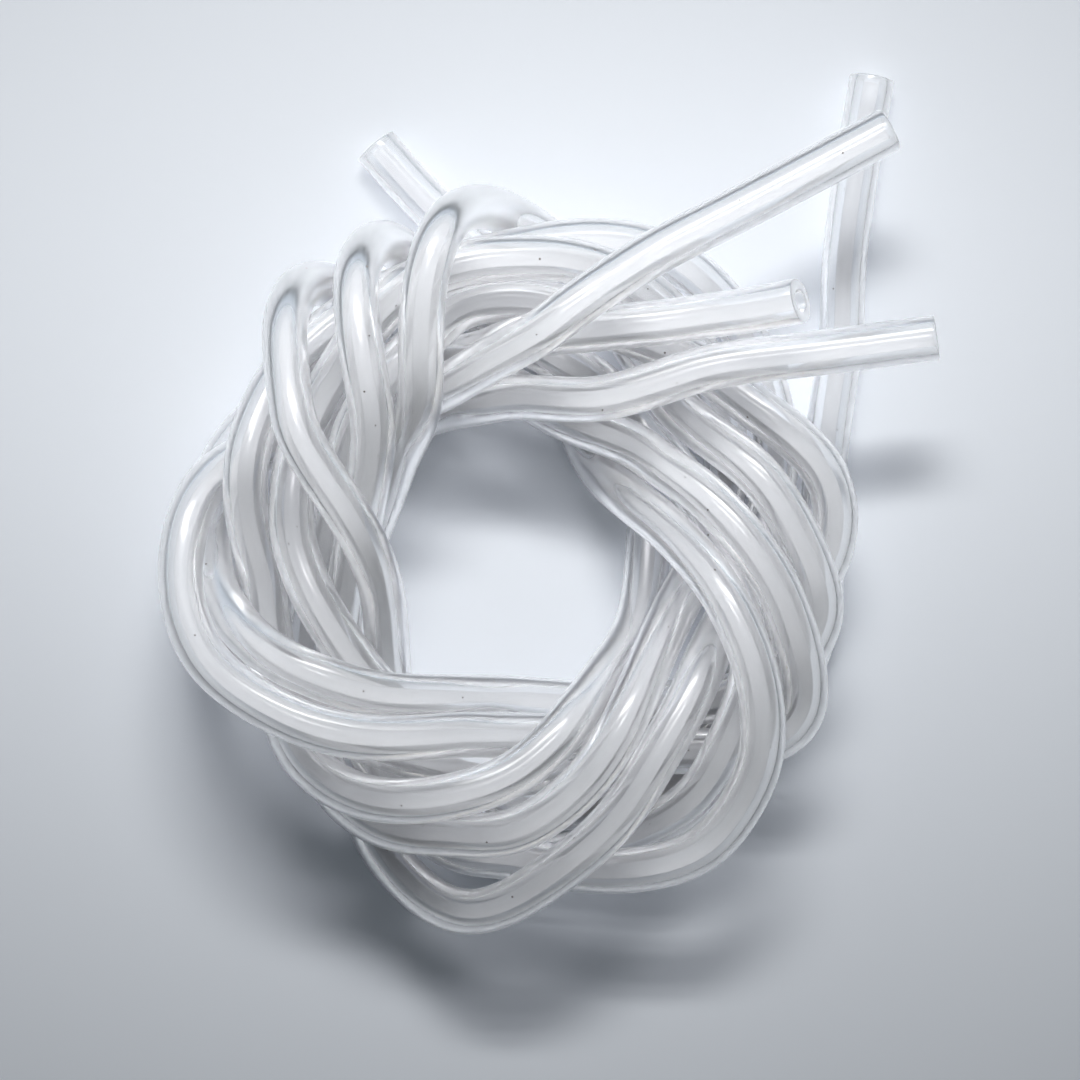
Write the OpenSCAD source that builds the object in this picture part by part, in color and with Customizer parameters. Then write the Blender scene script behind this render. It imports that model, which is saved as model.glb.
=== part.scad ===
// Silicone tubing coil: three lengths of soft translucent tubing, wound together by hand
// into one loose wreath that lies flat on the bench. Millimetres, +Z up.
// The origin is at the centre of the wreath's eye, on the surface that it lies on.

/* [Tubing] */
// Outside diameter of the tubing
tube_od = 4; // [3:0.25:6]
// Inside diameter of the tubing, its bore
tube_id = 2; // [1:0.25:4]

/* [Coil] */
// Mean diameter of the wreath, between the middles of its two sides
coil_d = 40; // [32:1:60]
// How far each strand stands clear of the next one where they press together
strand_gap = 0.45; // [0.1:0.05:0.6]

/* [Free ends] */
// How much further every free end runs on before its cut
end_extra = 0; // [-6:1:20]
// How far the cut of the tilted upper end leans back from square, in degrees
slant_cut = 15; // [0:5:40]

/* [Surface] */
// Flat sides round the tubing, on its outside and in its bore
sides = 10; // [8:1:12]
// Distance from one ring of the swept surface to the next
ring_pitch = 4; // [3.5:0.5:8]

/* [Hidden] */
clear_silicone = [0.86, 0.88, 0.89, 0.6];

// The rows below are lays chosen for this size of wreath and this size of tubing
lay_coil_d = 40;
lay_od = 4;

// The lay of each tube, from its upper free end to its lower end, by hand. A row is
// [angle round the wreath in degrees, distance from the axis, height of the centreline].
// A strand goes out to each crown under the others, and comes back in over them.
lay_1 = [
    // upper free end, held up by the strands that it crosses
    [27, 41.5, 12.5], [35, 30.5, 12], [46, 23, 11.5], [64, 17, 10.5], [90, 17.7, 6.6],
    [107, 18.6, 3.6], [122, 18.6, 2],
    // left crown, under the other two
    [136, 17.8, 2], [152, 18.8, 2], [166, 21.3, 2], [180, 24.8, 2], [193, 26.6, 2.5],
    [208, 24.4, 6], [220, 22, 8.5], [240, 19.6, 8], [254, 18.9, 6.2], [268, 18.8, 4.6],
    // right crown
    [290, 18.8, 2.5], [315, 20.5, 2], [338, 22.8, 2], [352, 26.4, 3], [363, 28.3, 5.5],
    [375, 27.6, 7.5], [388, 24.3, 8], [402, 22.2, 6.5],
    // rear side, in the middle of the bundle
    [425, 21.6, 6], [450, 22, 6], [468, 21.9, 7.4], [485, 20.6, 9], [507, 19.8, 9], [530, 18.3, 7],
    // front crown, the middle of three
    [555, 18.8, 4], [575, 20.8, 2.6], [592, 23, 3.8], [606, 24.4, 7], [618, 24, 10.2],
    [630, 23.6, 12], [645, 20.6, 12], [660, 17.5, 11], [675, 15.6, 9], [698, 15, 6],
    // rear arch, inside that of tube 3
    [722, 17.2, 3], [745, 21, 2.5], [768, 24, 4.5], [790, 24.8, 6.8], [810, 24.2, 9],
    [835, 22.6, 9], [880, 20.5, 6.5],
    // under the bundle, and the lower end, out along the bench
    [910, 18.6, 5.6], [942, 18, 5], [965, 19.4, 3], [990, 22, 2], [1040, 23.6, 2],
    [1076, 25, 2], [1101, 28.6, 2], [1115, 34.8, 2], [1124, 40.5, 2], [1134, 53.8, 2]
];
lay_2 = [
    // upper free end, the highest
    [48.5, 49.7, 12], [58, 34.2, 13], [66, 27.4, 13.5], [79, 20.3, 14.5],
    [90, 17.9, 14], [105, 16.8, 12], [120, 17, 9],
    // left crown, the outermost of three
    [134, 18.6, 5.5], [148, 20.6, 5], [160, 23, 6.4], [172, 24.9, 7.4], [184, 26, 6.8],
    [198, 26.8, 9], [210, 25.6, 11.5], [225, 22.8, 13], [240, 19.6, 12],
    [255, 17.4, 10.5], [270, 16.8, 8], [290, 17.4, 5],
    // right crown
    [306, 20.5, 2], [320, 25.5, 3], [330, 28, 5.5], [339, 26.4, 8.5], [350, 23.3, 10.5],
    [361, 20.5, 11.5], [378, 17.4, 10.8], [393, 15.8, 8.5], [407, 15.6, 6.5],
    // rear loop, first of three that wrap over the bundle
    [430, 16, 4.5], [444, 17, 6], [456, 18.8, 4.5], [467, 22, 2.3], [476, 25.6, 3],
    [483, 28, 5.5], [489, 27.6, 8.5], [496, 26, 11.5], [506, 22.8, 13.5],
    [514, 20.4, 13.8], [523, 17, 13], [534, 14.6, 11.5], [546, 13.8, 9.5],
    [557, 14.2, 7.5], [572, 16.2, 5], [585, 18.2, 3.2],
    // right crown, low
    [604, 19.5, 2], [626, 24.4, 2.5], [637, 25.9, 3.5], [660, 26.8, 5.5],
    [676, 25.7, 6.5], [690, 23.7, 7], [702, 20.8, 6.5], [720, 18, 5.5], [740, 16.6, 4.5],
    [765, 16.8, 3],
    // rear loop, second of the three
    [781, 17.2, 4], [794, 17.6, 6], [806, 19.6, 4], [816, 22.4, 2.5], [824, 25.4, 3.5],
    [830, 28.2, 6], [836, 27.4, 10], [843, 24.2, 12.5], [852, 20, 12.8], [862, 17.2, 11],
    [876, 16, 9], [892, 15.8, 7.5], [908, 16.3, 5.5], [930, 18.3, 3],
    // right crown, the one on top
    [955, 21.6, 2], [975, 24.6, 2], [990, 24.8, 2.8], [1006, 27, 4.5], [1021, 29.4, 7],
    [1032, 28.8, 9.5], [1041, 27.2, 11.5], [1051, 24.2, 12.8], [1061, 21.1, 13],
    [1072, 18.2, 12.5], [1083, 15.8, 11.5], [1096, 13.8, 10], [1112, 12.3, 8],
    // lower end, straight out along the bench
    [1130, 12.1, 5], [1144, 13.6, 3], [1157, 16.4, 2], [1173.5, 23, 2], [1183.5, 30.5, 2],
    [1189.5, 39, 2]
];
lay_3 = [
    // upper free end, tilted up
    [40, 32.8, 14], [45, 28.8, 13], [51, 25.7, 12], [61, 22.4, 11], [83, 19.4, 9.6],
    [98, 18, 7.6], [110, 18.3, 5.3], [122, 19.8, 3],
    // left crown, the innermost of three
    [134, 22.2, 2], [148, 23.4, 2], [163, 24.6, 2], [176, 24.8, 2.6], [191, 25.4, 6.4],
    [208, 24.2, 10.5], [226, 20.6, 11], [246, 16.3, 9.5], [268, 14.3, 6], [292, 15.6, 3.5],
    // right crown
    [310, 18.5, 2], [325, 22.5, 2.5], [337, 25.4, 3.5], [348, 26.4, 6], [360, 24.4, 8.8],
    [375, 21.8, 10.5], [390, 19.3, 9.5], [410, 18.2, 6.5],
    // rear loop, third of the three
    [422, 19.5, 4], [434, 23, 2], [446, 26, 2.5], [456, 27.3, 6], [463, 26, 10.5],
    [471, 23, 13], [481, 18.6, 13.5], [492, 15.7, 12], [505, 15.2, 9.5],
    [525, 15, 6.5], [545, 15.8, 4],
    // front crown, which stands out furthest
    [570, 17.6, 2], [590, 22, 2], [604, 26.6, 3.5], [621, 31, 7], [635, 29, 10],
    [650, 25.2, 11.5], [665, 21.6, 11.5], [680, 20, 10], [698, 19.6, 7],
    // rear arch
    [722, 21.5, 3.5], [746, 25, 3], [768, 27.4, 4.5], [786, 28.2, 6.2], [803, 27.4, 6.5],
    [820, 26, 7], [840, 24.6, 8.5], [853, 23.5, 8.5], [865, 22.2, 7.5], [893, 20.1, 5.9],
    // front crown, the innermost of three, and the hidden end
    [930, 22.2, 5], [952, 24.8, 7.5], [970, 24.4, 10.5], [990, 21.8, 11.5],
    [1010, 18, 10.5], [1030, 15.4, 8.5], [1055, 14.2, 5.5], [1090, 14, 3]
];

// ---- Smooth route through the rows of a lay ----

// The bundle's section grows with the tubing, and its ring with the coil
bulk = tube_od / lay_od;

// A row as a point, taken from the lay's own sizes to those of this coil
function place(row) =
    let (r = coil_d / 2 + (row[1] - lay_coil_d / 2) * bulk)
    [r * cos(row[0]), r * sin(row[0]), row[2] * bulk];

function last(list) = list[len(list) - 1];

function unit(v) = v / norm(v);

// The points of a lay, with its two ends run on in line
function placed(lay) =
    let (
        p = [for (row = lay) place(row)],
        n = len(p)
    )
    [for (i = [0:n - 1])
        i == 0 ? p[0] + end_extra * unit(p[0] - p[1])
        : i == n - 1 ? p[i] + end_extra * unit(p[i] - p[i - 1])
        : p[i]];

// The control points with one more beyond each end, in line
function extended(c) = concat(
    [2 * c[0] - c[1]],
    c,
    [2 * last(c) - c[len(c) - 2]]
);

// Control points of a cubic B-spline, pulled until it passes through the points
function pulled(points, c, passes) = passes == 0 ? c :
    let (e = extended(c))
    pulled(
        points,
        [for (i = [0:len(points) - 1])
            c[i] + points[i] - (e[i] + 4 * e[i + 1] + e[i + 2]) / 6],
        passes - 1
    );

// The point at share t of the stretch that four control points from number i on shape
function b_spline(e, i, t) =
    (pow(1 - t, 3) * e[i]
    + (3 * t * t * t - 6 * t * t + 4) * e[i + 1]
    + (-3 * t * t * t + 3 * t * t + 3 * t + 1) * e[i + 2]
    + t * t * t * e[i + 3]) / 6;

pull_passes = 14;
curve_steps = 12;

// The smooth curve through the points, with curve_steps to each stretch
function smooth_curve(points) =
    let (e = extended(pulled(points, points, pull_passes)))
    concat(
        [for (i = [0:len(points) - 2])
            for (j = [0:curve_steps - 1])
                b_spline(e, i, j / curve_steps)],
        [last(points)]
    );

// Distance along a line of points, at each of them
function travelled(line) = [
    for (i = 0, s = 0; i < len(line);
        s = s + (i + 1 < len(line) ? norm(line[i + 1] - line[i]) : 0), i = i + 1) s
];

// The same line with its points at equal distances
function even(line, pitch) =
    let (
        s = travelled(line),
        count = round(last(s) / pitch),
        xs = [for (i = [0:len(line) - 1]) [s[i], line[i].x]],
        ys = [for (i = [0:len(line) - 1]) [s[i], line[i].y]],
        zs = [for (i = [0:len(line) - 1]) [s[i], line[i].z]]
    )
    [for (i = [0:count])
        let (d = last(s) * i / count)
        [lookup(d, xs), lookup(d, ys), lookup(d, zs)]];

// ---- Settling: strands that press together part until each lies on the next ----

// The settled points lie this far apart, and as many next to one another never press
step = tube_od / 2;
same_strand = 4;

// Centrelines nearer than touching push apart, and those within reach may get that near
touching = tube_od + strand_gap;
reach = touching + tube_od;
least = tube_od / 400;

// Neighbours are looked up once a round
settle_rounds = 4;
settle_passes = 40;

// How much of an overlap one pass makes good, how much of that goes sideways,
// and how much of each point's move is evened out with those before and after it
push_share = 1.2;
sideways_share = 0.5;
ease = 0.3;

function total(vectors) = [for (v = vectors) 1] * vectors;

// Tube, number along it, and 1 or -1 at its first or last, for every point of all the tubes
function tags(tubes) = [
    for (t = [0:len(tubes) - 1])
        for (i = [0:len(tubes[t]) - 1])
            [t, i, i == 0 ? 1 : i == len(tubes[t]) - 1 ? -1 : 0]
];

// The numbers of the points within reach of each point, apart from its own stretch of tube
function neighbours(p, tag) = [
    for (i = [0:len(p) - 1]) [
        for (j = [0:len(p) - 1])
            if (abs(p[i].x - p[j].x) < reach && abs(p[i].y - p[j].y) < reach)
                if (tag[i][0] != tag[j][0] || abs(tag[i][1] - tag[j][1]) >= same_strand)
                    if (norm(p[i] - p[j]) < reach) j
    ]
];

// How far the strands that press on a point move it in one pass
function push(p, i, near) =
    let (
        pushes = [
            for (j = near[i])
                let (apart = p[i] - p[j], d = norm(apart))
                if (d < touching) apart * (touching - d) / max(d, least)
        ],
        sum = len(pushes) == 0 ? [0, 0, 0] : total(pushes) * push_share / sqrt(len(pushes))
    )
    [sum.x * sideways_share, sum.y * sideways_share, sum.z];

// One pass: push, even out along the tube, and keep every strand on or above the surface
function one_pass(p, moved, near, tag) =
    let (
        now = p + moved,
        pushed = [for (i = [0:len(p) - 1]) moved[i] + push(now, i, near)],
        eased = [for (i = [0:len(p) - 1])
            let (
                before = tag[i][2] == 1 ? pushed[i] : pushed[i - 1],
                after = tag[i][2] == -1 ? pushed[i] : pushed[i + 1]
            )
            pushed[i] + ease * ((before + after) / 2 - pushed[i])]
    )
    [for (i = [0:len(p) - 1])
        [eased[i].x, eased[i].y, max(eased[i].z, tube_od / 2 - p[i].z)]];

// The moves of all the points after n more passes, and the points after n more rounds
function passes(p, moved, near, tag, n) =
    n == 0 ? moved : passes(p, one_pass(p, moved, near, tag), near, tag, n - 1);

function rounds(p, moved, tag, n) = n == 0 ? p + moved :
    rounds(p, passes(p, moved, neighbours(p + moved, tag), tag, settle_passes), tag, n - 1);

// The tubes' lines of points, laid together and settled
function settled(tubes) =
    let (
        tag = tags(tubes),
        flat = [for (t = tubes) each t],
        laid = rounds(flat, 0 * flat, tag, settle_rounds)
    )
    [for (t = [0:len(tubes) - 1])
        [for (i = [0:len(laid) - 1]) if (tag[i][0] == t) laid[i]]];

lays = [lay_1, lay_2, lay_3];
routes = settled([
    for (lay = lays) even(smooth_curve(placed(lay)), step)
]);

// ---- The swept wall of a tube ----

// The direction that a line runs in at one of its points
function heading(line, i) =
    unit(line[min(i + 1, len(line) - 1)] - line[max(i - 1, 0)]);

// A side direction for each ring, carried along so that the tube doesn't twist
function carried(line) = [
    for (i = 0, side = unit(cross(heading(line, 0), [0, 0, 1])); i < len(line);
        i = i + 1,
        side = i < len(line)
            ? unit(side - (side * heading(line, i)) * heading(line, i))
            : side) side
];

// A ring square across the tube, or leaning back by an angle at a slanted cut
function ring(centre, along, side, d, lean) = [
    for (k = [0:sides - 1])
        let (
            a = 360 * k / sides,
            out = d / 2 * (cos(a) * side + sin(a) * cross(along, side))
        )
        centre + out + along * out.z * tan(lean)
];

// All the rings along a line, the first of them slanted by lean
function rings(line, d, lean) =
    let (side = carried(line))
    [for (i = [0:len(line) - 1])
        each ring(line[i], heading(line, i), side[i], d, i == 0 ? lean : 0)];

// Quads from each ring to the next, from one point's number on; turned ones face inwards
function skin(count, first, turned) = [
    for (i = [0:count - 2])
        for (k = [0:sides - 1])
            let (
                a = first + i * sides + k,
                b = first + i * sides + (k + 1) % sides
            )
            turned ? [a, b, b + sides, a + sides] : [a + sides, b + sides, b, a]
];

// The flat rim at a cut, between the outside's ring and the bore's
function rim(outer, inner, turned) = [
    for (k = [0:sides - 1])
        let (next = (k + 1) % sides)
        turned
            ? [outer + k, inner + k, inner + next, outer + next]
            : [outer + next, inner + next, inner + k, outer + k]
];

// A hollow tube along a route, with the cut of its upper end slanted by lean
module tube(route, lean = 0) {
    line = even(route, ring_pitch);
    outside = rings(line, tube_od, lean);
    bore = rings(line, tube_id, lean);
    count = len(line);
    bore_first = len(outside);
    far = (count - 1) * sides;
    color(clear_silicone)
        polyhedron(
            points = concat(outside, bore),
            faces = concat(
                skin(count, 0, false),
                skin(count, bore_first, true),
                rim(0, bore_first, false),
                rim(far, bore_first + far, true)
            ),
            convexity = 10
        );
}

module tube_1() tube(routes[0]);
module tube_2() tube(routes[1]);
module tube_3() tube(routes[2], slant_cut);

tube_1();
tube_2();
tube_3();
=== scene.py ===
"""Silicone tubing coil: three lengths of soft clear tubing, wound by hand into one loose wreath.

The file is laid out as an add-on and run as a script. Each tube is laid along listed rows,
smoothed, and settled with the others until every strand lies on the next.
"""

import math

import bpy
import numpy as np
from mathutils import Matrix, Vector


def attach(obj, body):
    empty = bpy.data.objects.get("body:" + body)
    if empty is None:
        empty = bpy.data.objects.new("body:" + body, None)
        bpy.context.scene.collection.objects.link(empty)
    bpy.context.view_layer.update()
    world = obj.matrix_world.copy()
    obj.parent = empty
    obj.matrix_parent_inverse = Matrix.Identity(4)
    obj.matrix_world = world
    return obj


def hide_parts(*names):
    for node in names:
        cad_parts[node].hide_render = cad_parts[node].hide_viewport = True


bl_info = {
    "name": "Silicone Tubing Coil",
    "version": (1, 0, 0),
    "blender": (4, 5, 0),
    "location": "3D View > Sidebar > Tubing",
    "description": "Makes a hand-wound coil of clear silicone tubing on a pale bench",
    "category": "Object",
}

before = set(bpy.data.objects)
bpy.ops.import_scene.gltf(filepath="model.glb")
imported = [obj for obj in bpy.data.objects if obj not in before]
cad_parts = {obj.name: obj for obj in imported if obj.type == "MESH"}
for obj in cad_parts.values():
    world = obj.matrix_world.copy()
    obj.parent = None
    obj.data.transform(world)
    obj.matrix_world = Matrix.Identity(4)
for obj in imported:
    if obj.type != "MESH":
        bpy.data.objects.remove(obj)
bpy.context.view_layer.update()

# The tube with the slanted cut, at its upper end
SLANTED = "tube_3"

# Name of the map that gives the distance along a tube and round it
UV_ALONG = "along"

# ---- The lays ----

# The lay of each tube, from its upper free end to its lower end. A row is
# (angle round the wreath in degrees, distance from the axis, height of the centreline).
# A strand goes out to each crown under the others, and comes back in over them.
LAYS = {
    "tube_1": [
        # upper free end, held up by the strands that it crosses
        (27, 0.0415, 0.0125), (35, 0.0305, 0.012), (46, 0.023, 0.0115), (64, 0.017, 0.0105),
        (90, 0.0177, 0.0066), (107, 0.0186, 0.0036), (122, 0.0186, 0.002),
        # left crown, under the other two
        (136, 0.0178, 0.002), (152, 0.0188, 0.002), (166, 0.0213, 0.002), (180, 0.0248, 0.002),
        (193, 0.0266, 0.0025), (208, 0.0244, 0.006), (220, 0.022, 0.0085), (240, 0.0196, 0.008),
        (254, 0.0189, 0.0062), (268, 0.0188, 0.0046),
        # right crown
        (290, 0.0188, 0.0025), (315, 0.0205, 0.002), (338, 0.0228, 0.002), (352, 0.0264, 0.003),
        (363, 0.0283, 0.0055), (375, 0.0276, 0.0075), (388, 0.0243, 0.008), (402, 0.0222, 0.0065),
        # rear side, in the middle of the bundle
        (425, 0.0216, 0.006), (450, 0.022, 0.006), (468, 0.0219, 0.0074), (485, 0.0206, 0.009),
        (507, 0.0198, 0.009), (530, 0.0183, 0.007),
        # front crown, the middle of three
        (555, 0.0188, 0.004), (575, 0.0208, 0.0026), (592, 0.023, 0.0038), (606, 0.0244, 0.007),
        (618, 0.024, 0.0102), (630, 0.0236, 0.012), (645, 0.0206, 0.012), (660, 0.0175, 0.011),
        (675, 0.0156, 0.009), (698, 0.015, 0.006),
        # rear arch, inside that of tube 3
        (722, 0.0172, 0.003), (745, 0.021, 0.0025), (768, 0.024, 0.0045), (790, 0.0248, 0.0068),
        (810, 0.0242, 0.009), (835, 0.0226, 0.009), (880, 0.0205, 0.0065),
        # under the bundle, and the lower end, out along the bench
        (910, 0.0186, 0.0056), (942, 0.018, 0.005), (965, 0.0194, 0.003), (990, 0.022, 0.002),
        (1040, 0.0236, 0.002), (1076, 0.025, 0.002), (1101, 0.0286, 0.002), (1115, 0.0348, 0.002),
        (1124, 0.0405, 0.002), (1134, 0.0538, 0.002),
    ],
    "tube_2": [
        # upper free end, the highest
        (48.5, 0.0497, 0.012), (58, 0.0342, 0.013), (66, 0.0274, 0.0135), (79, 0.0203, 0.0145),
        (90, 0.0179, 0.014), (105, 0.0168, 0.012), (120, 0.017, 0.009),
        # left crown, the outermost of three
        (134, 0.0186, 0.0055), (148, 0.0206, 0.005), (160, 0.023, 0.0064), (172, 0.0249, 0.0074),
        (184, 0.026, 0.0068), (198, 0.0268, 0.009), (210, 0.0256, 0.0115), (225, 0.0228, 0.013),
        (240, 0.0196, 0.012), (255, 0.0174, 0.0105), (270, 0.0168, 0.008), (290, 0.0174, 0.005),
        # right crown
        (306, 0.0205, 0.002), (320, 0.0255, 0.003), (330, 0.028, 0.0055), (339, 0.0264, 0.0085),
        (350, 0.0233, 0.0105), (361, 0.0205, 0.0115), (378, 0.0174, 0.0108),
        (393, 0.0158, 0.0085), (407, 0.0156, 0.0065),
        # rear loop, first of three that wrap over the bundle
        (430, 0.016, 0.0045), (444, 0.017, 0.006), (456, 0.0188, 0.0045), (467, 0.022, 0.0023),
        (476, 0.0256, 0.003), (483, 0.028, 0.0055), (489, 0.0276, 0.0085), (496, 0.026, 0.0115),
        (506, 0.0228, 0.0135), (514, 0.0204, 0.0138), (523, 0.017, 0.013), (534, 0.0146, 0.0115),
        (546, 0.0138, 0.0095), (557, 0.0142, 0.0075), (572, 0.0162, 0.005), (585, 0.0182, 0.0032),
        # right crown, low
        (604, 0.0195, 0.002), (626, 0.0244, 0.0025), (637, 0.0259, 0.0035), (660, 0.0268, 0.0055),
        (676, 0.0257, 0.0065), (690, 0.0237, 0.007), (702, 0.0208, 0.0065), (720, 0.018, 0.0055),
        (740, 0.0166, 0.0045), (765, 0.0168, 0.003),
        # rear loop, second of the three
        (781, 0.0172, 0.004), (794, 0.0176, 0.006), (806, 0.0196, 0.004), (816, 0.0224, 0.0025),
        (824, 0.0254, 0.0035), (830, 0.0282, 0.006), (836, 0.0274, 0.01), (843, 0.0242, 0.0125),
        (852, 0.02, 0.0128), (862, 0.0172, 0.011), (876, 0.016, 0.009), (892, 0.0158, 0.0075),
        (908, 0.0163, 0.0055), (930, 0.0183, 0.003),
        # right crown, the one on top
        (955, 0.0216, 0.002), (975, 0.0246, 0.002), (990, 0.0248, 0.0028), (1006, 0.027, 0.0045),
        (1021, 0.0294, 0.007), (1032, 0.0288, 0.0095), (1041, 0.0272, 0.0115),
        (1051, 0.0242, 0.0128), (1061, 0.0211, 0.013), (1072, 0.0182, 0.0125),
        (1083, 0.0158, 0.0115), (1096, 0.0138, 0.01), (1112, 0.0123, 0.008),
        # lower end, straight out along the bench
        (1130, 0.0121, 0.005), (1144, 0.0136, 0.003), (1157, 0.0164, 0.002),
        (1173.5, 0.023, 0.002), (1183.5, 0.0305, 0.002), (1189.5, 0.039, 0.002),
    ],
    "tube_3": [
        # upper free end, tilted up
        (40, 0.0328, 0.014), (45, 0.0288, 0.013), (51, 0.0257, 0.012), (61, 0.0224, 0.011),
        (83, 0.0194, 0.0096), (98, 0.018, 0.0076), (110, 0.0183, 0.0053), (122, 0.0198, 0.003),
        # left crown, the innermost of three
        (134, 0.0222, 0.002), (148, 0.0234, 0.002), (163, 0.0246, 0.002), (176, 0.0248, 0.0026),
        (191, 0.0254, 0.0064), (208, 0.0242, 0.0105), (226, 0.0206, 0.011), (246, 0.0163, 0.0095),
        (268, 0.0143, 0.006), (292, 0.0156, 0.0035),
        # right crown
        (310, 0.0185, 0.002), (325, 0.0225, 0.0025), (337, 0.0254, 0.0035), (348, 0.0264, 0.006),
        (360, 0.0244, 0.0088), (375, 0.0218, 0.0105), (390, 0.0193, 0.0095),
        (410, 0.0182, 0.0065),
        # rear loop, third of the three
        (422, 0.0195, 0.004), (434, 0.023, 0.002), (446, 0.026, 0.0025), (456, 0.0273, 0.006),
        (463, 0.026, 0.0105), (471, 0.023, 0.013), (481, 0.0186, 0.0135), (492, 0.0157, 0.012),
        (505, 0.0152, 0.0095), (525, 0.015, 0.0065), (545, 0.0158, 0.004),
        # front crown, which stands out furthest
        (570, 0.0176, 0.002), (590, 0.022, 0.002), (604, 0.0266, 0.0035), (621, 0.031, 0.007),
        (635, 0.029, 0.01), (650, 0.0252, 0.0115), (665, 0.0216, 0.0115), (680, 0.02, 0.01),
        (698, 0.0196, 0.007),
        # rear arch
        (722, 0.0215, 0.0035), (746, 0.025, 0.003), (768, 0.0274, 0.0045), (786, 0.0282, 0.0062),
        (803, 0.0274, 0.0065), (820, 0.026, 0.007), (840, 0.0246, 0.0085), (853, 0.0235, 0.0085),
        (865, 0.0222, 0.0075), (893, 0.0201, 0.0059),
        # front crown, the innermost of three, and the hidden end
        (930, 0.0222, 0.005), (952, 0.0248, 0.0075), (970, 0.0244, 0.0105), (990, 0.0218, 0.0115),
        (1010, 0.018, 0.0105), (1030, 0.0154, 0.0085), (1055, 0.0142, 0.0055),
        (1090, 0.014, 0.003),
    ],
}

# Sizes of the wreath and of the tubing that the rows were chosen for
LAY_COIL = 0.04
LAY_TUBE = 0.004

# ---- Smooth lines ----

# Rounds of pulling control points, and points to each stretch of the smoothed line
PULL_PASSES = 14
CURVE_STEPS = 12


def placed(rows, coil, tube):
    """The rows as points, taken from the lays' own sizes to those asked for."""
    angle, radius, height = np.array(rows, float).T
    angle = np.radians(angle)
    bulk = tube / LAY_TUBE
    radius = coil / 2 + (radius - LAY_COIL / 2) * bulk
    return np.column_stack([radius * np.cos(angle), radius * np.sin(angle), height * bulk])


def extended(points):
    """The points with one more beyond each end, in line."""
    return np.vstack([2 * points[0] - points[1], points, 2 * points[-1] - points[-2]])


def pulled(points):
    """Control points of a cubic B-spline that passes through the points."""
    control = points
    for _ in range(PULL_PASSES):
        e = extended(control)
        control = control + points - (e[:-2] + 4 * e[1:-1] + e[2:]) / 6
    return control


def b_spline(control):
    """The cubic B-spline of the control points."""
    e = extended(control)
    t = (np.arange(CURVE_STEPS) / CURVE_STEPS)[:, None, None]
    shares = [
        (1 - t) ** 3,
        3 * t**3 - 6 * t**2 + 4,
        -3 * t**3 + 3 * t**2 + 3 * t + 1,
        t**3,
    ]
    count = len(control) - 1
    stretches = sum(s * e[None, i : i + count] for i, s in enumerate(shares)) / 6
    line = stretches.transpose(1, 0, 2).reshape(-1, 3)
    return np.vstack([line, (e[-3] + 4 * e[-2] + e[-1]) / 6])


def travelled(line):
    """Distance along a line of points, at each of them."""
    return np.append(0, np.cumsum(np.linalg.norm(np.diff(line, axis=0), axis=1)))


def even(line, pitch):
    """The same line with its points at equal distances."""
    s = travelled(line)
    at = np.linspace(0, s[-1], round(s[-1] / pitch) + 1)
    return np.column_stack([np.interp(at, s, line[:, axis]) for axis in range(3)])


def smooth(points, pitch):
    """The smooth line through the points, as points at equal distances."""
    return even(b_spline(pulled(points)), pitch)


# ---- Settling ----

# Neighbours are looked up once a round
SETTLE_ROUNDS = 4
SETTLE_PASSES = 40

# Points this near in number along one tube never press
SAME_STRAND = 4

# How much of an overlap one pass makes good, how much of that goes sideways,
# and how much of each point's move is evened out with those before and after it
PUSH_SHARE = 1.2
SIDEWAYS_SHARE = 0.5
EASE = 0.3

# Centrelines are never taken as nearer than this share of the tubing
LEAST_APART = 1 / 400


def neighbours(points, tube, number, reach):
    """Pairs of points within reach of each other, apart from those close along one tube."""
    apart = np.linalg.norm(points[:, None] - points[None], axis=2)
    same = (tube[:, None] == tube) & (abs(number[:, None] - number) < SAME_STRAND)
    return np.nonzero((apart < reach) & ~same)


def settled(lines, tubing, gap):
    """The lines, moved apart wherever their tubes would press into each other."""
    start = np.vstack(lines)
    tube = np.repeat(np.arange(len(lines)), [len(line) for line in lines])
    number = np.concatenate([np.arange(len(line)) for line in lines])
    first = number == 0
    last = np.append(first[1:], True)
    before = np.where(first, 0, -1) + np.arange(len(start))
    after = np.where(last, 0, 1) + np.arange(len(start))
    touching = tubing + gap
    moved = np.zeros_like(start)
    for _ in range(SETTLE_ROUNDS):
        here, there = neighbours(start + moved, tube, number, touching + tubing)
        for _ in range(SETTLE_PASSES):
            now = start + moved
            apart = now[here] - now[there]
            d = np.linalg.norm(apart, axis=1)
            pressed = d < touching
            push = apart * ((touching - d) / np.maximum(d, tubing * LEAST_APART))[:, None]
            total = np.zeros_like(start)
            np.add.at(total, here[pressed], push[pressed])
            count = np.bincount(here[pressed], minlength=len(start))
            total *= (PUSH_SHARE / np.sqrt(np.maximum(count, 1)))[:, None]
            total[:, :2] *= SIDEWAYS_SHARE
            moved = moved + total
            moved = moved + EASE * ((moved[before] + moved[after]) / 2 - moved)
            moved[:, 2] = np.maximum(moved[:, 2], tubing / 2 - start[:, 2])
    laid = start + moved
    return [laid[tube == t] for t in range(len(lines))]


# ---- The tube's wall ----

# How far in from both faces a rounded edge passes half way round, as a share of its radius
HALF_ROUND = 0.3


def headings(line):
    """The direction that a line runs in at each of its points."""
    along = np.gradient(line, axis=0)
    return along / np.linalg.norm(along, axis=1)[:, None]


def carried(along):
    """A side direction at each point, carried along so that the tube doesn't twist."""
    side = np.cross(along[0], (0, 0, 1))
    sides = []
    for direction in along:
        side = side - side.dot(direction) * direction
        side = side / np.linalg.norm(side)
        sides.append(side)
    return np.array(sides)


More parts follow.
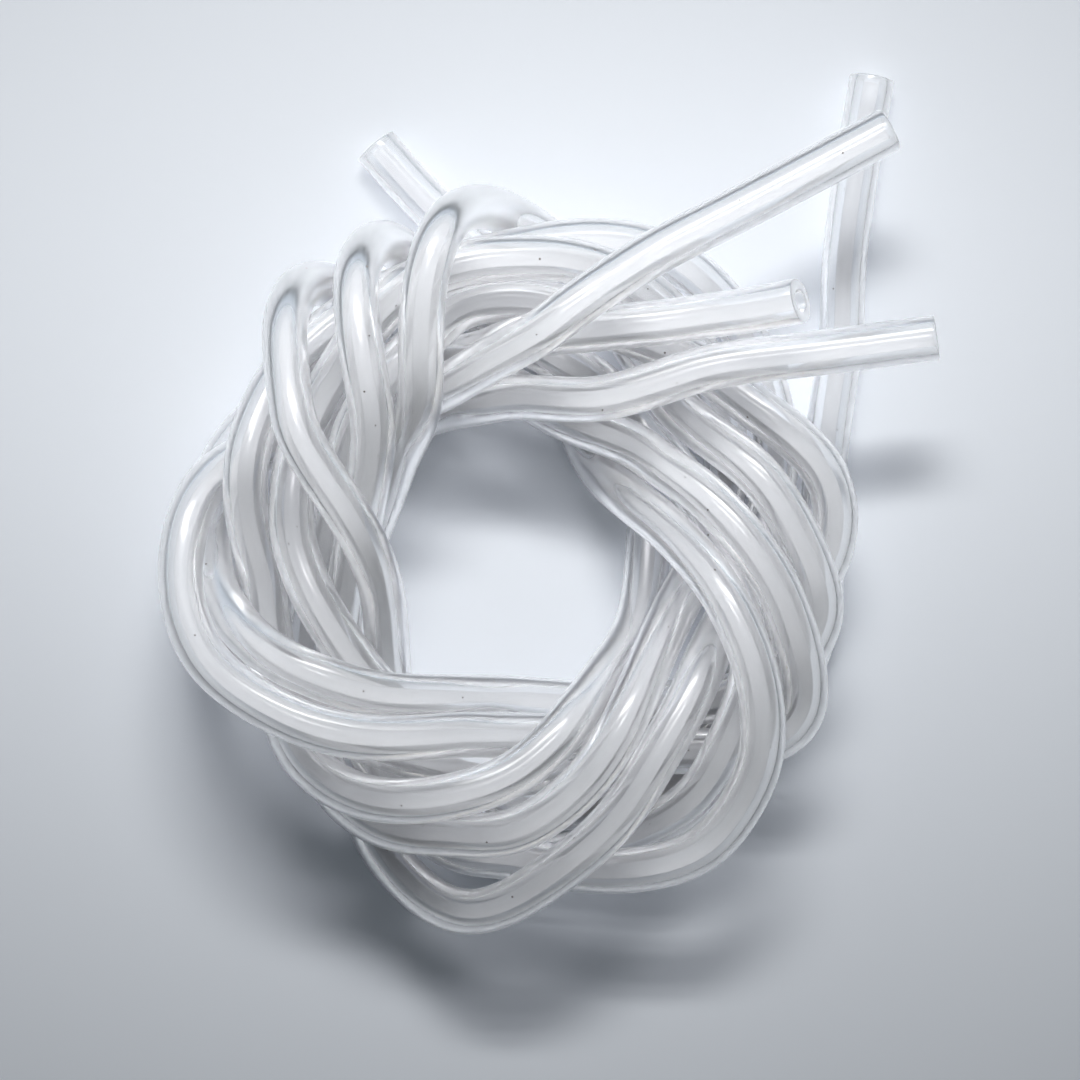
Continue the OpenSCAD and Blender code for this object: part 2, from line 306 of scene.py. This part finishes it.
def cut_profile(outer, bore, count, rounding):
    """Rings over the first cut, the wall, the other cut and back through the bore.

    A ring is (point number on the line, how far in from the cut, radius).
    """
    last = count - 1
    half_way = rounding * HALF_ROUND
    wall = [(i, 0.0, outer) for i in range(1, last)]
    inside = [(i, 0.0, bore) for i in range(last - 1, 0, -1)]
    start = [
        (0, rounding, bore),
        (0, half_way, bore + half_way),
        (0, 0.0, bore + rounding),
        (0, 0.0, outer - rounding),
        (0, half_way, outer - half_way),
        (0, rounding, outer),
    ]
    end = [(last, -inset, radius) for _, inset, radius in reversed(start)]
    return start + wall + end + inside


def tube_mesh(name, line, outer, bore, sides, lean, rounding):
    """A hollow tube along a line: its wall, its bore and the rim at each cut, closed."""
    along = headings(line)
    side = carried(along)
    up = np.cross(along, side)
    travel = travelled(line)
    turn = np.arange(sides) * 2 * math.pi / sides
    lean_reach = 2 * outer
    rings, places = [], []
    for i, inset, radius in cut_profile(outer, bore, len(line), rounding):
        out = radius * (np.cos(turn)[:, None] * side[i] + np.sin(turn)[:, None] * up[i])
        slant = math.tan(lean) * max(0.0, 1 - travel[i] / lean_reach)
        rings.append(line[i] + out + (inset + slant * out[:, 2:]) * along[i])
        places.append(travel[i] + inset)
    mesh = bpy.data.meshes.new(name)
    mesh.from_pydata(np.vstack(rings).tolist(), [], skin(len(rings), sides).tolist())
    layer = mesh.uv_layers.new(name=UV_ALONG)
    layer.data.foreach_set("uv", unrolled(places, sides, outer).astype(np.float32).ravel())
    mesh.shade_smooth()
    mesh.update()
    return mesh


def skin(count, sides):
    """Quads between rings of points, with the last ring joined to the first."""
    ring = np.arange(count)[:, None] * sides
    k = np.arange(sides)
    here, beside = ring + k, ring + (k + 1) % sides
    ahead, across = np.roll(here, -1, 0), np.roll(beside, -1, 0)
    return np.stack([ahead, across, beside, here], axis=2).reshape(-1, 4)


def unrolled(places, sides, outer):
    """The map of each quad's corners: distance round the tube, and along it, in metres."""
    count = len(places)
    facet = 2 * math.pi * outer / sides
    low = np.broadcast_to(2 * math.pi * outer * np.arange(sides) / sides, (count, sides))
    along = np.array(places)[:, None]
    near = np.broadcast_to(along, (count, sides))
    far = np.broadcast_to(np.roll(along, -1), (count, sides))
    return np.stack([low, far, low + facet, far, low + facet, near, low, near], axis=2)


# ---- Shaders ----


class Value:
    """A socket of a shader tree. Arithmetic on it adds the Math nodes that work it out."""

    def __init__(self, tree, socket):
        self.tree = tree
        self.socket = socket

    def math(self, operation, left, right=0.0):
        settings = {"operation": operation}
        return add_node(self.tree, "ShaderNodeMath", settings, 0, **{"0": left, "1": right})

    def __add__(self, other):
        return self.math("ADD", self, other)

    def __radd__(self, other):
        return self.math("ADD", other, self)

    def __mul__(self, other):
        return self.math("MULTIPLY", self, other)

    def __rmul__(self, other):
        return self.math("MULTIPLY", other, self)

    def __pow__(self, other):
        return self.math("POWER", self, other)

    def __lt__(self, other):
        return self.math("LESS_THAN", self, other)

    def __gt__(self, other):
        return self.math("GREATER_THAN", self, other)


def add_node(tree, kind, settings=None, output=0, **inputs):
    """Adds a node to a tree and returns one of its outputs.

    Its settings go first, such as a Math node's operation or a ramp's stops. Then each input
    gets its value or its link, and is named, or numbered where its name isn't its own.
    """
    node = tree.nodes.new(kind)
    for name, value in (settings or {}).items():
        if name == "stops":
            for element, (at, colour) in zip(node.color_ramp.elements, value):
                element.position = at
                element.color = colour
        else:
            setattr(node, name, value)
    for name, value in inputs.items():
        socket = node.inputs[int(name) if name.isdigit() else name.replace("_", " ")]
        if isinstance(value, Value):
            tree.links.new(value.socket, socket)
        else:
            socket.default_value = value
    return Value(tree, node.outputs[output]) if node.outputs else None


def new_material(name):
    """A material with an empty tree."""
    made = bpy.data.materials.new(name)
    made.use_nodes = True
    made.node_tree.nodes.clear()
    return made


def show(tree, surface):
    """Sends a shader to the tree's surface output."""
    add_node(tree, "ShaderNodeOutputMaterial", Surface=surface)


def mixed(tree, share, first, second):
    """The first shader, with the second in its place where share is 1."""
    return add_node(tree, "ShaderNodeMixShader", **{"0": share, "1": first, "2": second})


# Light that has passed walls, or been scattered, more often than this meets simpler walls
CLEAR_WALLS = 1.5
CLEAR_SCATTERS = 1.5

# How quickly the added haze falls off from where the wall is looked along
EDGE_POWER = 3

# Each dust speck lies in a cell of its own, and this many cells lie side by side in a metre
SPECKS_PER_METRE = 420

BENCH_ROUGHNESS = 0.6


def silicone(look):
    """Clear silicone rubber: it bends what is seen through it, and is a little milky."""
    made = new_material("silicone")
    tree = made.node_tree
    walls_passed = add_node(tree, "ShaderNodeLightPath", output="Transmission Depth")
    scatters = add_node(tree, "ShaderNodeLightPath", output="Diffuse Depth")
    scattered = add_node(tree, "ShaderNodeLightPath", output="Is Diffuse Ray")
    to_lamp = add_node(tree, "ShaderNodeLightPath", output="Is Shadow Ray")
    clear = add_node(
        tree,
        "ShaderNodeBsdfPrincipled",
        Base_Color=(*look.tint, 1.0),
        Roughness=look.roughness,
        IOR=look.ior,
        Transmission_Weight=1.0,
    )
    back = add_node(tree, "ShaderNodeBsdfDiffuse", Color=(*look.haze_tint, 1.0))
    onward = add_node(tree, "ShaderNodeBsdfTranslucent", Color=(*look.haze_tint, 1.0))
    milky = mixed(tree, look.forward, back, onward)
    straight = add_node(tree, "ShaderNodeBsdfTransparent", Color=(*look.tint, 1.0))

    # The walls in view: clear, milkier where they are looked along, and with specks of dust
    facing = add_node(tree, "ShaderNodeLayerWeight", output="Facing")
    hazy = mixed(tree, look.haze + look.edge_haze * facing**EDGE_POWER, clear, milky)
    place = add_node(tree, "ShaderNodeTexCoord", output="Object")
    from_speck = add_node(
        tree, "ShaderNodeTexVoronoi", output="Distance", Vector=place, Scale=SPECKS_PER_METRE
    )
    dust = add_node(tree, "ShaderNodeBsdfDiffuse", Color=(*look.dust_colour, 1.0))
    dusty = mixed(tree, from_speck < look.dust, hazy, dust)

    # The walls of the strands under those
    deep = mixed(tree, look.depth_haze, straight, milky)
    seen = mixed(tree, walls_passed > CLEAR_WALLS, dusty, deep)

    # The walls that light meets once it is scattered, and on its way to the lamp
    veiled = mixed(tree, look.soft_haze, straight, back)
    soft = mixed(tree, scatters > CLEAR_SCATTERS, veiled, back)
    shaded = add_node(tree, "ShaderNodeBsdfTransparent", Color=(*look.shadow_tint, 1.0))
    show(tree, mixed(tree, to_lamp, mixed(tree, scattered, seen, soft), shaded))
    return made


def bench(stage):
    """The pale, plain surface that the coil lies on."""
    made = new_material("bench")
    tree = made.node_tree
    show(
        tree,
        add_node(
            tree,
            "ShaderNodeBsdfPrincipled",
            Base_Color=(*stage.floor_colour, 1.0),
            Roughness=BENCH_ROUGHNESS,
            Specular_IOR_Level=0.0,
        ),
    )
    return made


# ---- Settings ----


class TubingSettings(bpy.types.PropertyGroup):
    """Sizes of the tubing and of its coil."""

    outside: bpy.props.FloatProperty(
        name="Outside diameter",
        description="Outside diameter of the tubing",
        default=0.004,
        min=0.003,
        max=0.006,
        subtype="DISTANCE",
        unit="LENGTH",
    )
    bore: bpy.props.FloatProperty(
        name="Inside diameter",
        description="Inside diameter of the tubing, its bore",
        default=0.002,
        min=0.001,
        max=0.004,
        subtype="DISTANCE",
        unit="LENGTH",
    )
    coil: bpy.props.FloatProperty(
        name="Coil diameter",
        description="Mean diameter of the wreath, between the middles of its two sides",
        default=0.04,
        min=0.032,
        max=0.06,
        subtype="DISTANCE",
        unit="LENGTH",
    )
    gap: bpy.props.FloatProperty(
        name="Strand gap",
        description="How far each strand stands clear of the next where they press together",
        default=0.00045,
        min=0.0001,
        max=0.0006,
        subtype="DISTANCE",
        unit="LENGTH",
    )
    slant: bpy.props.FloatProperty(
        name="Slanted cut",
        description="How far the cut of the tilted upper end leans back from square",
        default=math.radians(15),
        min=0.0,
        max=math.radians(40),
        subtype="ANGLE",
        unit="ROTATION",
    )
    rounding: bpy.props.FloatProperty(
        name="Cut rounding",
        description="How far the edges of each cut are rounded",
        default=0.00012,
        min=0.00002,
        max=0.0003,
        subtype="DISTANCE",
        unit="LENGTH",
    )
    pitch: bpy.props.FloatProperty(
        name="Ring pitch",
        description="Distance from one ring of the tubing's mesh to the next",
        default=0.0008,
        min=0.0005,
        max=0.002,
        subtype="DISTANCE",
        unit="LENGTH",
    )
    sides: bpy.props.IntProperty(
        name="Sides",
        description="Flat sides round the tubing's mesh",
        default=40,
        min=12,
        max=64,
    )


class SiliconeSettings(bpy.types.PropertyGroup):
    """Look of the silicone."""

    tint: bpy.props.FloatVectorProperty(
        name="Tint",
        description="Colour of the light that passes through the silicone",
        default=(0.94, 0.943, 0.945),
        min=0.0,
        max=1.0,
        subtype="COLOR",
    )
    haze_tint: bpy.props.FloatVectorProperty(
        name="Haze tint",
        description="Colour of the light that the silicone scatters",
        default=(0.93, 0.935, 0.945),
        min=0.0,
        max=1.0,
        subtype="COLOR",
    )
    haze: bpy.props.FloatProperty(
        name="Haze",
        description="Share of the light that each face of a strand on top scatters",
        default=0.1,
        min=0.0,
        max=1.0,
        subtype="FACTOR",
    )
    depth_haze: bpy.props.FloatProperty(
        name="Depth haze",
        description="Share of the light that each face of a strand under another scatters",
        default=0.7,
        min=0.0,
        max=1.0,
        subtype="FACTOR",
    )
    edge_haze: bpy.props.FloatProperty(
        name="Edge haze",
        description="Haze that is added where the wall is looked along",
        default=0.25,
        min=0.0,
        max=1.0,
        subtype="FACTOR",
    )
    forward: bpy.props.FloatProperty(
        name="Forward scatter",
        description="Share of the scattered light that goes on through the wall",
        default=0.75,
        min=0.0,
        max=1.0,
        subtype="FACTOR",
    )
    roughness: bpy.props.FloatProperty(
        name="Roughness",
        description="Roughness of the drawn surface",
        default=0.2,
        min=0.0,
        max=1.0,
        subtype="FACTOR",
    )
    ior: bpy.props.FloatProperty(
        name="Refraction",
        description="Refractive index of silicone rubber",
        default=1.41,
        min=1.0,
        max=2.0,
    )
    dust: bpy.props.FloatProperty(
        name="Dust",
        description="Size of the dust specks, as a share of their distance apart",
        default=0.04,
        min=0.0,
        max=0.2,
        subtype="FACTOR",
    )
    dust_colour: bpy.props.FloatVectorProperty(
        name="Dust colour",
        description="Colour of the dust specks",
        default=(0.12, 0.1, 0.09),
        min=0.0,
        max=1.0,
        subtype="COLOR",
    )
    soft_haze: bpy.props.FloatProperty(
        name="Soft haze",
        description="Share of light that a face scatters when it comes scattered already",
        default=0.9,
        min=0.0,
        max=1.0,
        subtype="FACTOR",
    )
    shadow_tint: bpy.props.FloatVectorProperty(
        name="Shadow tint",
        description="What one face of the tubing lets through of a lamp's light",
        default=(0.79, 0.79, 0.795),
        min=0.0,
        max=1.0,
        subtype="COLOR",
    )


class StageSettings(bpy.types.PropertyGroup):
    """The camera, the bench, the lamp and the light of the room."""

    view_width: bpy.props.FloatProperty(
        name="View width",
        description="Width of the camera's view, where the coil lies",
        default=0.09504,
        min=0.05,
        max=0.5,
        subtype="DISTANCE",
        unit="LENGTH",
    )
    view_centre: bpy.props.FloatVectorProperty(
        name="View centre",
        description="The point that the camera looks at",
        default=(0.0022, 0.00178, 0.005),
        subtype="TRANSLATION",
        unit="LENGTH",
    )
    elevation: bpy.props.FloatProperty(
        name="Camera elevation",
        description="Angle of the camera above the bench",
        default=math.radians(82),
        min=math.radians(10),
        max=math.radians(90),
        subtype="ANGLE",
        unit="ROTATION",
    )
    lens: bpy.props.FloatProperty(
        name="Lens",
        description="Focal length of the camera, in millimetres",
        default=500.0,
        min=50.0,
        max=1000.0,
    )
    floor_colour: bpy.props.FloatVectorProperty(
        name="Bench colour",
        description="Colour of the bench",
        default=(0.765, 0.795, 0.84),
        min=0.0,
        max=1.0,
        subtype="COLOR",
    )
    key_power: bpy.props.FloatProperty(
        name="Key lamp",
        description="Power of the long lamp behind the coil, in watts",
        default=0.078,
        min=0.0,
        max=10.0,
    )
    sky_colour: bpy.props.FloatVectorProperty(
        name="Room light",
        description="Colour of the light from all round the room",
        default=(0.85, 0.93, 1.0),
        min=0.0,
        max=1.0,
        subtype="COLOR",
    )
    sky_strength: bpy.props.FloatProperty(
        name="Room strength",
        description="Strength of the light from all round the room",
        default=0.13,
        min=0.0,
        max=2.0,
    )
    rear_colour: bpy.props.FloatVectorProperty(
        name="Rear of the room",
        description="Colour of the room behind the coil, as the silicone shows it",
        default=(0.50, 0.58, 0.68),
        min=0.0,
        max=1.0,
        subtype="COLOR",
    )
    front_colour: bpy.props.FloatVectorProperty(
        name="Front of the room",
        description="Colour of the room in front of the coil, as the silicone shows it",
        default=(0.80, 0.79, 0.75),
        min=0.0,
        max=1.0,
        subtype="COLOR",
    )


# ---- Operators ----

# Width of the camera's sensor, in millimetres, and the reach of its view, in metres
SENSOR_WIDTH = 36.0
VIEW_START = 0.01
VIEW_END = 20.0

BENCH_WIDTH = 12.0

# The lamp's middle, the point that it faces, its size, and how wide its beam is
KEY_PLACE = (0.0, 0.2, 0.255)
KEY_AIM = (0.0, 0.02, 0.0)
KEY_LENGTH = 0.2
KEY_HEIGHT = 0.023
KEY_SPREAD = math.radians(40)


def all_settings(context):
    """The three groups of settings of the scene."""
    scene = context.scene
    return scene.tubing_size, scene.tubing_look, scene.tubing_stage


class TUBING_OT_stage(bpy.types.Operator):
    """Makes the camera, the bench, the lamp and the light of the room"""

    bl_idname = "tubing.stage"
    bl_label = "Stage"

    def execute(self, context):
        stage = context.scene.tubing_stage
        add_camera(context, stage)
        add_bench(stage)
        add_key_lamp(context, stage)
        light_room(context, stage)
        context.scene.view_settings.view_transform = "Standard"
        return {"FINISHED"}


def add_camera(context, stage):
    """A long lens, looking down at the coil."""
    camera = bpy.data.cameras.new("camera")
    camera.lens = stage.lens
    camera.sensor_width = SENSOR_WIDTH
    camera.clip_start = VIEW_START
    camera.clip_end = VIEW_END
    holder = bpy.data.objects.new("camera", camera)
    context.scene.collection.objects.link(holder)
    distance = stage.view_width * stage.lens / camera.sensor_width
    back = Vector((0, -math.cos(stage.elevation), math.sin(stage.elevation)))
    holder.location = Vector(stage.view_centre) + back * distance
    holder.rotation_euler = (-back).to_track_quat("-Z", "Y").to_euler()
    context.scene.camera = holder


def add_bench(stage):
    """One wide flat surface at the height that the coil lies on."""
    bpy.ops.mesh.primitive_plane_add(size=BENCH_WIDTH, location=(0, 0, 0))
    top = bpy.context.object
    top.name = "bench"
    top.data.materials.append(bench(stage))


def add_key_lamp(context, stage):
    """A long narrow lamp behind the coil and above it, which the silicone doesn't show."""
    lamp = bpy.data.lights.new("key", "AREA")
    lamp.shape = "RECTANGLE"
    lamp.size = KEY_LENGTH
    lamp.size_y = KEY_HEIGHT
    lamp.energy = stage.key_power
    lamp.spread = KEY_SPREAD
    holder = bpy.data.objects.new("key", lamp)
    context.scene.collection.objects.link(holder)
    holder.location = Vector(KEY_PLACE)
    back = holder.location - Vector(KEY_AIM)
    holder.rotation_euler = back.to_track_quat("Z", "Y").to_euler()
    holder.visible_transmission = False


def light_room(context, stage):
    """Plain soft light from all round, and the two sides of the room that silicone shows."""
    world = bpy.data.worlds.new("room")
    world.use_nodes = True
    tree = world.node_tree
    tree.nodes.clear()
    soft = add_node(
        tree,
        "ShaderNodeBackground",
        Color=(*stage.sky_colour, 1.0),
        Strength=stage.sky_strength,
    )
    heading = add_node(tree, "ShaderNodeTexCoord", output="Generated")
    to_rear = add_node(tree, "ShaderNodeSeparateXYZ", output="Y", **{"0": heading})
    shade = add_node(
        tree,
        "ShaderNodeValToRGB",
        {"stops": ((0.0, (*stage.front_colour, 1.0)), (1.0, (*stage.rear_colour, 1.0)))},
        Fac=to_rear * 0.5 + 0.5,
    )
    shown = add_node(tree, "ShaderNodeBackground", Color=shade)
    bent = add_node(tree, "ShaderNodeLightPath", output="Is Transmission Ray")
    mirrored = add_node(tree, "ShaderNodeLightPath", output="Is Glossy Ray")
    add_node(tree, "ShaderNodeOutputWorld", Surface=mixed(tree, bent + mirrored, soft, shown))
    context.scene.world = world


class TUBING_OT_tubes(bpy.types.Operator):
    """Makes the three lengths of tubing, laid and settled together"""

    bl_idname = "tubing.tubes"
    bl_label = "Tubes"

    def execute(self, context):
        size, look, _ = all_settings(context)
        finish = silicone(look)
        for name, line in tube_lines(size).items():
            add_tube(context, name, line, size, finish)
        return {"FINISHED"}


def tube_lines(size):
    """The settled centreline of each tube, at an even pitch."""
    step = size.outside / 2
    laid = [smooth(placed(rows, size.coil, size.outside), step) for rows in LAYS.values()]
    lines = settled(laid, size.outside, size.gap)
    return {name: smooth(line, size.pitch) for name, line in zip(LAYS, lines)}


def add_tube(context, name, line, size, finish):
    """One tube in place of its plain solid."""
    lean = size.slant if name == SLANTED else 0.0
    mesh = tube_mesh(
        name, line, size.outside / 2, size.bore / 2, size.sides, lean, size.rounding
    )
    mesh.materials.append(finish)
    piece = bpy.data.objects.new(name + "_clear", mesh)
    context.scene.collection.objects.link(piece)
    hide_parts(name)
    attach(piece, "root")


class TUBING_PT_panel(bpy.types.Panel):
    """Lists what makes the coil"""

    bl_idname = "TUBING_PT_panel"
    bl_label = "Silicone Tubing Coil"
    bl_space_type = "VIEW_3D"
    bl_region_type = "UI"
    bl_category = "Tubing"

    def draw(self, context):
        layout = self.layout
        for group in all_settings(context):
            box = layout.box()
            for name in group.__annotations__:
                box.prop(group, name)
        for operator in OPERATORS:
            layout.operator(operator.bl_idname)


OPERATORS = (TUBING_OT_stage, TUBING_OT_tubes)
GROUPS = {
    "tubing_size": TubingSettings,
    "tubing_look": SiliconeSettings,
    "tubing_stage": StageSettings,
}


def register():
    for kind in (*GROUPS.values(), *OPERATORS, TUBING_PT_panel):
        bpy.utils.register_class(kind)
    for name, group in GROUPS.items():
        setattr(bpy.types.Scene, name, bpy.props.PointerProperty(type=group))


def unregister():
    for name in GROUPS:
        delattr(bpy.types.Scene, name)
    for kind in reversed((*GROUPS.values(), *OPERATORS, TUBING_PT_panel)):
        bpy.utils.unregister_class(kind)


def main():
    register()
    bpy.ops.tubing.stage()
    bpy.ops.tubing.tubes()


if __name__ == "__main__":
    main()
